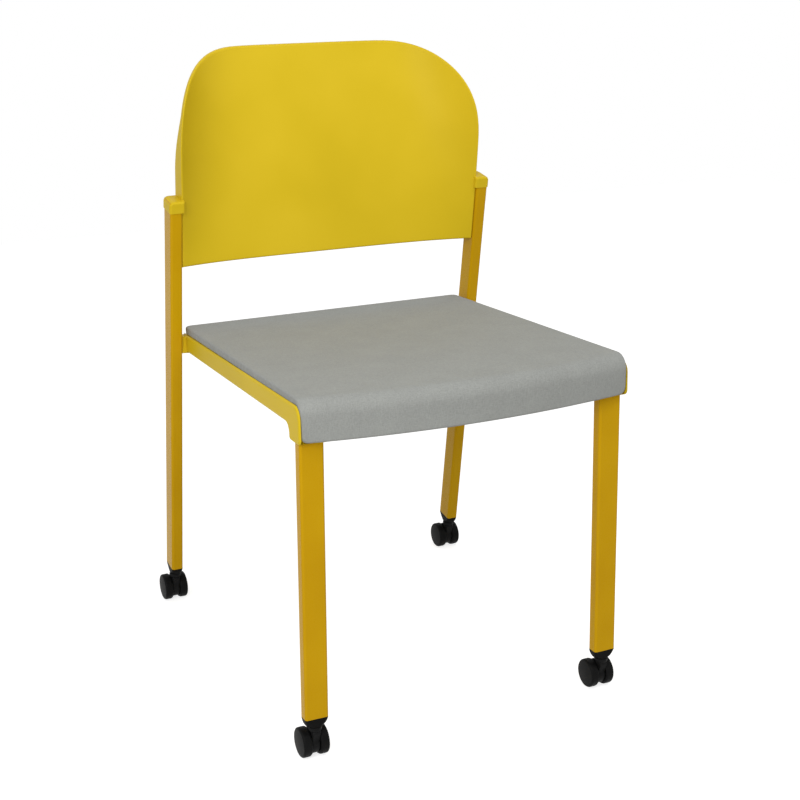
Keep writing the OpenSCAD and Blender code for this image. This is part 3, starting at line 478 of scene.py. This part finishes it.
def rail_face(side):
    """A closed facing of one rail, rounded all round its outer edge. Its first ring lies inside the rail."""
    places = rail_side()
    rings = []
    for turn, hidden in [(face_turns[0], True)] + [(turn, False) for turn in face_turns]:
        a = math.radians(turn)
        ring = []
        for k, (forward, up, fall, r) in enumerate(places):
            before, after = places[k - 1], places[(k + 1) % len(places)]
            into = Vector((forward - before[0], up - before[1])).normalized()
            out = Vector((after[0] - forward, after[1] - up)).normalized()
            inward = Vector((into.y + out.y, -into.x - out.x)) / (1 + into.dot(out))
            inset = fall - (fall + face_over) * math.sin(a)
            depth = r + face_behind if hidden else r - (r + face_over) * math.cos(a)
            spot = Vector((forward, up)) + inward * inset
            ring.append(from_seat(side * (rail_half + rail_widens * spot.x - depth), spot.x, spot.y))
        rings.append(ring if side > 0 else ring[::-1])
    return rings


def behind_face(spot):
    """Lets a place on a rail's outside in behind its facing."""
    back, high = seat_back - spot.y, spot.z - seat_level
    forward = back * math.cos(seat_slope) + high * math.sin(seat_slope)
    up = high * math.cos(seat_slope) - back * math.sin(seat_slope)
    depth = rail_half + rail_widens * forward - abs(spot.x)
    if -near_face < depth < face_seat and (forward > lug_reach or up > lug_low):
        return Vector((math.copysign(abs(spot.x) + depth - face_seat, spot.x), spot.y, spot.z))
    return spot.copy()


def seat_pan():
    """The frame's pan with a rounded facing on each rail."""
    source = nodes["seat_pan"].data
    points = [behind_face(vertex.co) for vertex in source.vertices]
    faces = [tuple(face.vertices) for face in source.polygons]
    for side in (1, -1):
        stacked(points, faces, rail_face(side))
    mesh = bpy.data.meshes.new("seat_pan_moulding")
    mesh.from_pydata(points, [], faces)
    pan = piece_from("seat_pan_moulding", mesh, moulded_yellow, "chair", "seat_pan")
    join_faces(pan)
    round_edges(pan, moulded_edge)


seat_pan()


# Seat board
# Birch plywood 5 mm thick, cut to the pan's outline and screwed to the pan from below.
# It carries the pad and can't be seen in use.

def birch_plywood():
    material, tree, shader = new_material("birch_plywood")
    figure = speckle(tree, place_texture(tree, stretch=(1.0, 0.08, 1.0)), scale=90.0, detail=6.0, rough=0.6)
    face = tint(tree, figure, [
        (0.3, (0.52, 0.36, 0.20)), (0.55, (0.62, 0.45, 0.27)), (0.75, (0.68, 0.52, 0.33)),
    ])
    plies = tree.nodes.new("ShaderNodeTexWave")
    plies.bands_direction = "Z"
    plies.inputs["Scale"].default_value = 110.0
    plies.inputs["Distortion"].default_value = 0.4
    tree.links.new(place_texture(tree), plies.inputs["Vector"])
    dark = tint(tree, plies.outputs["Fac"], [(0.35, (0.34, 0.20, 0.10)), (0.65, (0.60, 0.43, 0.26))])
    geometry = tree.nodes.new("ShaderNodeNewGeometry")
    split = tree.nodes.new("ShaderNodeSeparateXYZ")
    tree.links.new(geometry.outputs["True Normal"], split.inputs["Vector"])
    level = tree.nodes.new("ShaderNodeMath")
    level.operation = "ABSOLUTE"
    tree.links.new(split.outputs["Z"], level.inputs[0])
    flat = spread(tree, level.outputs["Value"], 0.0, 1.0, start=0.4, end=0.6)
    tree.links.new(blend_colours(tree, flat, dark, face), shader.inputs["Base Color"])
    tree.links.new(spread(tree, figure, 0.5, 0.7), shader.inputs["Roughness"])
    relief(tree, shader, figure, strength=0.2, depth=0.0003)
    return material


board_edge = 0.0003
finish_with("seat_board", birch_plywood(), board_edge)


# Screws and rivet nuts
# Zinc-plated steel: screws hold the pan to the bars, the board to the pan, the legs in their collars and
# the backrest to the posts, where they turn into crimped nuts.

screw_zinc = plated("screw_zinc", (0.46, 0.46, 0.45), (0.64, 0.64, 0.62), streak=(1.0, 1.0, 1.0))
for node in ("pan_screws", "board_screws", "leg_screws", "back_screws", "back_nut_inserts"):
    finish_with(node, screw_zinc, metal_edge)


# Seat pad
# A thin foam pad on the board, drawn over with grey woven cloth. Its front edge rolls down into a short skirt.
# The edges are pulled tight over the board, and only the middle of the cover swells a little.

def larger_of(tree, first, second):
    larger = tree.nodes.new("ShaderNodeMath")
    larger.operation = "MAXIMUM"
    tree.links.new(first, larger.inputs[0])
    tree.links.new(second, larger.inputs[1])
    return larger.outputs["Value"]


def pad_cloth():
    material, tree, shader = new_material("pad_cloth")
    yarn = {"scale": 1500.0, "detail": 2.0, "rough": 0.6}
    warp = speckle(tree, place_texture(tree, stretch=(1.0, 0.12, 0.12)), **yarn)
    weft = speckle(tree, place_texture(tree, stretch=(0.12, 1.0, 1.0)), **yarn)
    woven = larger_of(tree, warp, weft)
    threads = tint(tree, woven, [
        (0.42, (0.282, 0.290, 0.272)), (0.56, (0.323, 0.331, 0.312)), (0.72, (0.364, 0.372, 0.353)),
    ])
    drift = speckle(tree, place_texture(tree), scale=22.0, detail=4.0, rough=0.6)
    cloud = tint(tree, drift, [(0.35, (0.95, 0.95, 0.95)), (0.65, (1.0, 1.0, 1.0))])
    shade = tree.nodes.new("ShaderNodeMix")
    shade.data_type = "RGBA"
    shade.blend_type = "MULTIPLY"
    shade.inputs["Factor"].default_value = 1.0
    tree.links.new(threads, shade.inputs["A"])
    tree.links.new(cloud, shade.inputs["B"])
    tree.links.new(shade.outputs["Result"], shader.inputs["Base Color"])
    tree.links.new(spread(tree, woven, 0.80, 0.95), shader.inputs["Roughness"])
    relief(tree, shader, woven, strength=0.35, depth=0.0003)
    shader.inputs["IOR"].default_value = 1.4
    shader.inputs["Specular IOR Level"].default_value = 0.3
    shader.inputs["Sheen Weight"].default_value = 0.08
    shader.inputs["Sheen Roughness"].default_value = 0.5
    return material


def skin(rows, columns, front, loops, back):
    """Points and faces of a closed skin: a front grid, loops round its border and a back grid."""
    border = [(0, c) for c in range(columns)] + [(r, columns - 1) for r in range(1, rows)]
    border += [(rows - 1, c) for c in range(columns - 2, -1, -1)] + [(r, 0) for r in range(rows - 2, 0, -1)]
    points = [front(r, c) for r in range(rows) for c in range(columns)]
    rings = [[r * columns + c for r, c in border]]
    for loop in loops:
        rings.append(list(range(len(points), len(points) + len(border))))
        points += [loop(r, c) for r, c in border]
    last = len(points)
    points += [back(r, c) for r in range(rows) for c in range(columns)]
    rings.append([last + r * columns + c for r, c in border])
    faces = []
    for r in range(rows - 1):
        for c in range(columns - 1):
            a = r * columns + c
            faces.append((a, a + 1, a + columns + 1, a + columns))
            faces.append((last + a, last + a + columns, last + a + columns + 1, last + a + 1))
    for near, far in zip(rings, rings[1:]):
        for k in range(len(border)):
            n = (k + 1) % len(border)
            faces.append((near[k], far[k], far[n], near[n]))
    return points, faces


edge_turns = [math.radians(turn) for turn in (22.5, 45.0, 67.5, 90.0)]


def rounded_over(r):
    """Steps round a rounded edge, as how far in from the side and how deep under the face."""
    return [(r * (1 - math.sin(a)), r * (1 - math.cos(a))) for a in edge_turns]


pad_rear, pad_front, pad_bow = 0.2215, 0.228, 0.026
flat_run, roll_r, roll_turn, skirt_run = 0.4585, 0.020, math.radians(93), 0.033
roll_run = roll_r * roll_turn
pad_run = flat_run + roll_run + skirt_run
pad_thick, skirt_thick, pad_soft, pad_under = 0.011, 0.0063, 0.003, 0.0015
rear_corner, skirt_corner = 0.007, 0.009


def ease(t):
    t = max(0.0, min(1.0, t))
    return t * t * (3 - 2 * t)


def cut_corner(run, r):
    """How much narrower a round corner makes the pad this far from its end."""
    return r - math.sqrt(r * r - (r - run) ** 2) if run < r else 0.0


def pad_half(run):
    return pad_rear + (pad_front - pad_rear) * min(1.0, run / (flat_run + roll_r))


def pad_spot(run, x, depth):
    """A place at a distance along the pad's side outline, the given depth under its cover."""
    if run < flat_run:
        forward, up, turn = run, 0.0, 0.0
    elif run < flat_run + roll_run:
        turn = (run - flat_run) / roll_r
        forward, up = flat_run + roll_r * math.sin(turn), roll_r * (math.cos(turn) - 1)
    else:
        turn = roll_turn
        hang = run - flat_run - roll_run
        forward = flat_run + roll_r * math.sin(turn) + hang * math.cos(turn)
        up = roll_r * (math.cos(turn) - 1) - hang * math.sin(turn)
    across = min(1.0, abs(x) / pad_half(run))
    bow = pad_bow * (1 - across * across) * min(1.0, run / flat_run)
    return from_seat(x, forward + bow - depth * math.sin(turn), up - depth * math.cos(turn))


crown_tall, crown_starts, crown_rises, crown_ends, crown_falls = 0.0025, 0.45, 3, 1.05, 5
dish_deep, dish_rises, dish_ends, dish_falls = 0.005, 4, 0.75, 3


def pad_swell(run, across):
    """How far the middle stands over the edges: a slight dish toward the rear, a crown before the roll."""
    k = run / flat_run
    crown = crown_tall * ease((k - crown_starts) * crown_rises) * ease((crown_ends - k) * crown_falls)
    dish = dish_deep * (1 - across * across) * ease(k * dish_rises) * ease((dish_ends - k) * dish_falls)
    return (1 - across * across) * (crown - dish)


flat_rows, roll_rows, skirt_rows, corner_rows, pad_across = 52, 9, 4, 6, 64


def steps_between(low, high, count):
    return [low + (high - low) * k / count for k in range(count)]


def corner_run(r, k):
    """How far from the pad's end a round corner's row lies."""
    return r * (1 - math.cos(math.radians(90 / corner_rows * k)))


pad_runs = [corner_run(rear_corner, k) for k in range(corner_rows)]
pad_runs += steps_between(rear_corner, flat_run, flat_rows)
pad_runs += steps_between(flat_run, flat_run + roll_run, roll_rows)
pad_runs += steps_between(flat_run + roll_run, pad_run - skirt_corner, skirt_rows)
pad_runs += [pad_run - corner_run(skirt_corner, k) for k in range(corner_rows, -1, -1)]


def pad_point(row, column, inset, depth, swell=0.0):
    along = pad_runs[row]
    across = 1 - 2 * column / pad_across
    run = inset + along * (pad_run - 2 * inset) / pad_run
    half = pad_half(run) - inset - cut_corner(along, rear_corner) - cut_corner(pad_run - along, skirt_corner)
    return pad_spot(run, across * half, depth - swell * pad_swell(run, across))


def pad_deep(row):
    """The pad's thickness at a row, thinner round the roll and in the skirt."""
    share = ease((pad_runs[row] - flat_run + roll_r) / (roll_run + roll_r))
    return pad_thick + (skirt_thick - pad_thick) * share


def pad_loop(inset, depth):
    return lambda r, c: pad_point(r, c, inset, depth)


def pad_low_loop(inset, height):
    return lambda r, c: pad_point(r, c, inset, pad_deep(r) - height)


pad_loops = [pad_loop(inset, depth) for inset, depth in rounded_over(pad_soft)]
pad_loops += [pad_low_loop(0.0, pad_under), pad_low_loop(0.3 * pad_under, 0.3 * pad_under)]
points, faces = skin(
    len(pad_runs), pad_across + 1,
    lambda r, c: pad_point(r, c, pad_soft, 0.0, swell=1.0),
    pad_loops,
    lambda r, c: pad_point(r, c, pad_under, pad_deep(r)),
)
pad_mesh = bpy.data.meshes.new("seat_pad")
pad_mesh.from_pydata(points, [], faces)
pad_mesh.materials.append(pad_cloth())
for face in pad_mesh.polygons:
    face.use_smooth = True
pad = bpy.data.objects.new("seat_pad", pad_mesh)
bpy.context.scene.collection.objects.link(pad)

# The cover is held along its edges and underneath, and air under it lifts the rest
held_edge, held_fade, most_rise, cloth_steps = 0.006, 0.050, 0.0022, 20
held = pad.vertex_groups.new(name="held")
rows, columns = len(pad_runs), pad_across + 1
for index in range(len(points)):
    free = 0.0
    if index < rows * columns:
        row, column = divmod(index, columns)
        edge_gap = min(
            pad_runs[row], pad_run - skirt_run * 0.5 - pad_runs[row],
            pad_half(pad_runs[row]) * (1 - abs(1 - 2 * column / pad_across)),
        )
        free = ease((edge_gap - held_edge) / held_fade)
    held.add([index], 1.0 - free, "REPLACE")
flat_form = [v.co.copy() for v in pad_mesh.vertices]
cover = pad.modifiers.new("cover", "CLOTH")
cover.settings.quality = 6
cover.settings.mass = 0.4
cover.settings.vertex_group_mass = "held"
cover.settings.use_pressure = True
cover.settings.uniform_pressure_force = 4.0
cover.settings.effector_weights.gravity = 0
cover.settings.tension_stiffness = 30
cover.settings.compression_stiffness = 30
cover.settings.bending_stiffness = 4.0
for step in range(1, cloth_steps + 1):
    bpy.context.scene.frame_set(step)
bpy.context.view_layer.objects.active = pad
bpy.ops.object.modifier_apply(modifier=cover.name)
bpy.context.scene.frame_set(1)
moves = [v.co - start for v, start in zip(pad_mesh.vertices, flat_form)]
most = max(move.length for move in moves)
keep = min(1.0, most_rise / most) if most else 1.0
for vertex, start, move in zip(pad_mesh.vertices, flat_form, moves):
    vertex.co = start + move * keep
finer = pad.modifiers.new("finer", "SUBSURF")
finer.levels = 1
finer.render_levels = 1
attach(pad, "chair")
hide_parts("seat_cushion")


# Backrest
# One nylon moulding in the pan's yellow, hollowed toward the sitter. Its sides turn back along the posts,
# two ears cap the posts' ends, and screws go into the posts from inside the sides.

shell_half = 0.23105
shell_low, shell_high = 0.5538, 0.8496
corner_wide, corner_tall, corner_power = 0.123, 0.149, 2.55
panel_thick, side_thick = 0.005, 0.0036
shell_soft, rim_soft, inner_soft = 0.0028, 0.0009, 0.0012
post_gap, top_back, curl_power = 0.0025, 0.015, 4
hollow_low, hollow_high = 0.0155, 0.112
side_deep, rim_deep, rim_least = 0.032, 0.008, 0.002
deep_from, deep_fade = 0.86, 0.14
side_tall, side_fade = 0.1355, 0.100
post_x, post_y = swivels["rear"]
post_z, post_end = 0.061, 0.597
post_thin, post_deep = 0.00875, 0.016
side_steps, corner_steps, across_steps = 16, 26, 72


def post_face(z):
    """Front face of the posts at a height."""
    return post_y - (z - post_z) * math.tan(lean) - post_deep / math.cos(lean)


def shell_face(x, z):
    """Front face of the shell: nearly flat low down and a deep hollow at the top, with curled edges."""
    rise = (z - shell_low) / (shell_high - shell_low)
    across = min(1.0, abs(x) / shell_half)
    hollow = hollow_low + (hollow_high - hollow_low) * rise
    return post_face(z) + post_gap + top_back * rise * rise + hollow * (1 - across ** curl_power)


def shell_edge(row, inset):
    """Half width and height of the outline at a row, drawn in by inset."""
    centre = shell_high - corner_tall
    low = shell_low + inset
    if row <= side_steps:
        return shell_half - inset, low + (centre - low) * row / side_steps
    turn = (row - side_steps) / corner_steps * math.pi / 2
    return (
        shell_half - corner_wide + (corner_wide - inset) * max(0.0, math.cos(turn)) ** (2 / corner_power),
        centre + (corner_tall - inset) * math.sin(turn) ** (2 / corner_power),
    )


def shell_point(row, column, inset, depth):
    half, z = shell_edge(row, inset)
    x = half * (2 * column / across_steps - 1)
    return Vector((x, shell_face(x, z) + depth, z))


def rim_back(row, column):
    """How far back the rim reaches: deep beside the posts, shallow round the top and along the bottom."""
    edge = shell_point(row, column, 0, 0)
    least = shell_point(row, column, side_thick, panel_thick + rim_least).y
    if row == 0:
        across = abs(2 * column / across_steps - 1)
        deep = rim_deep + (side_deep - rim_deep) * ease((across - deep_from) / deep_fade)
    else:
        deep = side_deep + (rim_deep - side_deep) * ease((edge.z - shell_low - side_tall) / side_fade)
    return max(edge.y + deep, least)


def shell_loop(inset, depth):
    return lambda r, c: shell_point(r, c, inset, depth)


def rim_loop(inset, short):
    def place(r, c):
        spot = shell_point(r, c, inset, 0)
        return Vector((spot.x, rim_back(r, c) - short, spot.z))
    return place


def shell_loops():
    """Loops round the border from the front face over its rounded edge, along the side and round the rim."""
    loops = [shell_loop(inset, depth) for inset, depth in rounded_over(shell_soft)]
    for inset, short in (
        (0.0, rim_soft), (0.3 * rim_soft, 0.3 * rim_soft), (rim_soft, 0.0),
        (side_thick - rim_soft, 0.0), (side_thick - 0.3 * rim_soft, 0.3 * rim_soft), (side_thick, rim_soft),
    ):
        loops.append(rim_loop(inset, short))
    for turn in (0.0, 45.0):
        a = math.radians(turn)
        inset = side_thick + inner_soft * (1 - math.cos(a))
        depth = panel_thick + inner_soft * (1 - math.sin(a))
        loops.append(shell_loop(inset, depth))
    return loops


ear_tall, ear_wall, ear_play, ear_over = 0.0166, 0.0008, 0.0002, 0.0018
ear_crown, ear_soft, ear_edge, ear_corner = 0.0065, 0.003, 0.0004, 0.0035
crown_turns = [math.radians(7.5 * k) for k in range(1, 13)]
socket_short, socket_flare = 0.002, 0.0002
socket_thin, socket_deep, socket_corner = 0.00895, 0.0162, 0.0037
corner_points = 5


def rounded_section(low_x, high_x, half_y, radius):
    """Points round a rectangle with rounded corners, in order."""
    spots = []
    for cx, cy, start in (
        (high_x - radius, half_y - radius, 0), (low_x + radius, half_y - radius, 90),
        (low_x + radius, radius - half_y, 180), (high_x - radius, radius - half_y, 270),
    ):
        for k in range(corner_points + 1):
            a = math.radians(start + 90 * k / corner_points)
            spots.append((cx + radius * math.cos(a), cy + radius * math.sin(a)))
    return spots


def ear_rings():
    """Sections of an ear along the post, from inside its socket for the post out and up over the top."""
    outer = post_thin + ear_wall + ear_play
    inner = outer - (2 * post_thin + ear_wall + 2 * ear_play + side_thick)
    half = post_deep + ear_wall + ear_play
    base = post_end + ear_over - ear_tall
    socket = rounded_section(-socket_thin, socket_thin, socket_deep, socket_corner)
    flared = rounded_section(
        -socket_thin - socket_flare, socket_thin + socket_flare,
        socket_deep + socket_flare, socket_corner + socket_flare,
    )
    side = rounded_section(inner, outer, half, ear_corner)
    rings = [
        (post_end - socket_short, socket),
        (base + ear_edge, socket),
        (base, flared),
        (base, rounded_section(inner, outer - ear_edge, half - ear_edge, ear_corner)),
        (base + ear_edge, side),
        (base + ear_tall - ear_crown, side),
    ]
    for a in crown_turns:
        height = ear_tall - ear_crown + ear_crown * math.sin(a)
        cut = max(0.0, height - (ear_tall - ear_soft))
        shrink = ear_soft - math.sqrt(max(0.0, ear_soft * ear_soft - cut * cut))
        high_x = outer - ear_crown + ear_crown * math.cos(a)
        rings.append((base + height, rounded_section(inner, high_x, half - shrink, ear_corner)))
    return rings


def add_ear(points, faces, side):
    rings = []
    for height, section in ear_rings():
        rings.append([
            Vector((
                side * (post_x + x),
                post_y + y * math.cos(lean) - height * math.sin(lean),
                post_z + y * math.sin(lean) + height * math.cos(lean),
            ))
            for x, y in section
        ])
    stacked(points, faces, rings, mirrored=side < 0)


points, faces = skin(
    side_steps + corner_steps + 1, across_steps + 1,
    shell_loop(shell_soft, 0),
    shell_loops(),
    shell_loop(side_thick + inner_soft, panel_thick),
)
for side in (1, -1):
    add_ear(points, faces, side)
back_mesh = bpy.data.meshes.new("backrest")
back_mesh.from_pydata(points, [], faces)
backrest = piece_from("backrest", back_mesh, moulded_yellow, "chair", "backrest_shell")
even_light(backrest)


# Floor, light and camera
# A pale floor that keeps the chair's shadow, an even white surround, two soft lamps,
# and the camera where the picture was taken from.

def one_of(tree, share, first, second):
    """The second shader where share is 1, else the first."""
    pick = tree.nodes.new("ShaderNodeMixShader")
    tree.links.new(share, pick.inputs["Fac"])
    tree.links.new(first, pick.inputs[1])
    tree.links.new(second, pick.inputs[2])
    return pick.outputs["Shader"]


floor_size, floor_grey, floor_glow = 6.0, 0.60, 0.74
floor_mesh = bmesh.new()
bmesh.ops.create_grid(floor_mesh, x_segments=2, y_segments=2, size=floor_size / 2)
floor_data = bpy.data.meshes.new("floor")
floor_mesh.to_mesh(floor_data)
floor_mesh.free()
floor = bpy.data.objects.new("floor", floor_data)
bpy.context.scene.collection.objects.link(floor)

floor_material, tree, shader = new_material("pale_floor")
shader.inputs["Base Color"].default_value = (floor_grey, floor_grey, floor_grey, 1)
shader.inputs["Roughness"].default_value = 0.9
shader.inputs["Specular IOR Level"].default_value = 0.1
glow = tree.nodes.new("ShaderNodeEmission")
glow.inputs["Color"].default_value = (1, 1, 1, 1)
glow.inputs["Strength"].default_value = floor_glow
nothing = tree.nodes.new("ShaderNodeEmission")
nothing.inputs["Strength"].default_value = 0.0
rays = tree.nodes.new("ShaderNodeLightPath")
seen = larger_of(tree, rays.outputs["Is Camera Ray"], rays.outputs["Is Glossy Ray"])
both = tree.nodes.new("ShaderNodeAddShader")
tree.links.new(shader.outputs["BSDF"], both.inputs[0])
tree.links.new(one_of(tree, seen, nothing.outputs["Emission"], glow.outputs["Emission"]), both.inputs[1])
tree.links.new(both.outputs["Shader"], tree.nodes["Material Output"].inputs["Surface"])
floor.data.materials.append(floor_material)

surround_light = 0.52
world = bpy.data.worlds.new("surround")
bpy.context.scene.world = world
world.use_nodes = True
tree = world.node_tree
lit = tree.nodes["Background"]
lit.inputs["Color"].default_value = (1, 1, 1, 1)
lit.inputs["Strength"].default_value = surround_light
white = tree.nodes.new("ShaderNodeBackground")
white.inputs["Color"].default_value = (1, 1, 1, 1)
white.inputs["Strength"].default_value = 1.0
rays = tree.nodes.new("ShaderNodeLightPath")
glossy = larger_of(tree, rays.outputs["Is Glossy Ray"], rays.outputs["Is Transmission Ray"])
seen = larger_of(tree, rays.outputs["Is Camera Ray"], glossy)
surround = one_of(tree, seen, lit.outputs["Background"], white.outputs["Background"])
tree.links.new(surround, tree.nodes["World Output"].inputs["Surface"])

lamp_aim, lamp_size = Vector((0.0, -0.1, 0.45)), 1.4
for name, where, power in (
    ("key_lamp", Vector((-1.6, -1.8, 1.6)), 31.0),
    ("top_lamp", Vector((0.2, -0.9, 2.3)), 12.0),
):
    lamp = bpy.data.lights.new(name, "AREA")
    lamp.shape = "DISK"
    lamp.size = lamp_size
    lamp.energy = power
    holder = bpy.data.objects.new(name, lamp)
    bpy.context.scene.collection.objects.link(holder)
    holder.location = where
    holder.rotation_euler = (lamp_aim - where).to_track_quat("-Z", "Y").to_euler()

camera_at, camera_aim = Vector((-0.8265, -1.8151, 1.0393)), Vector((0.0, -0.0572, 0.3939))
camera_data = bpy.data.cameras.new("camera")
camera_data.sensor_fit = "HORIZONTAL"
camera_data.sensor_width = 36.0
camera_data.lens = 66.87
camera = bpy.data.objects.new("camera", camera_data)
bpy.context.scene.collection.objects.link(camera)
camera.location = camera_at
camera.rotation_euler = (camera_aim - camera_at).to_track_quat("-Z", "Y").to_euler()
bpy.context.scene.camera = camera

bpy.context.scene.view_settings.view_transform = "Standard"
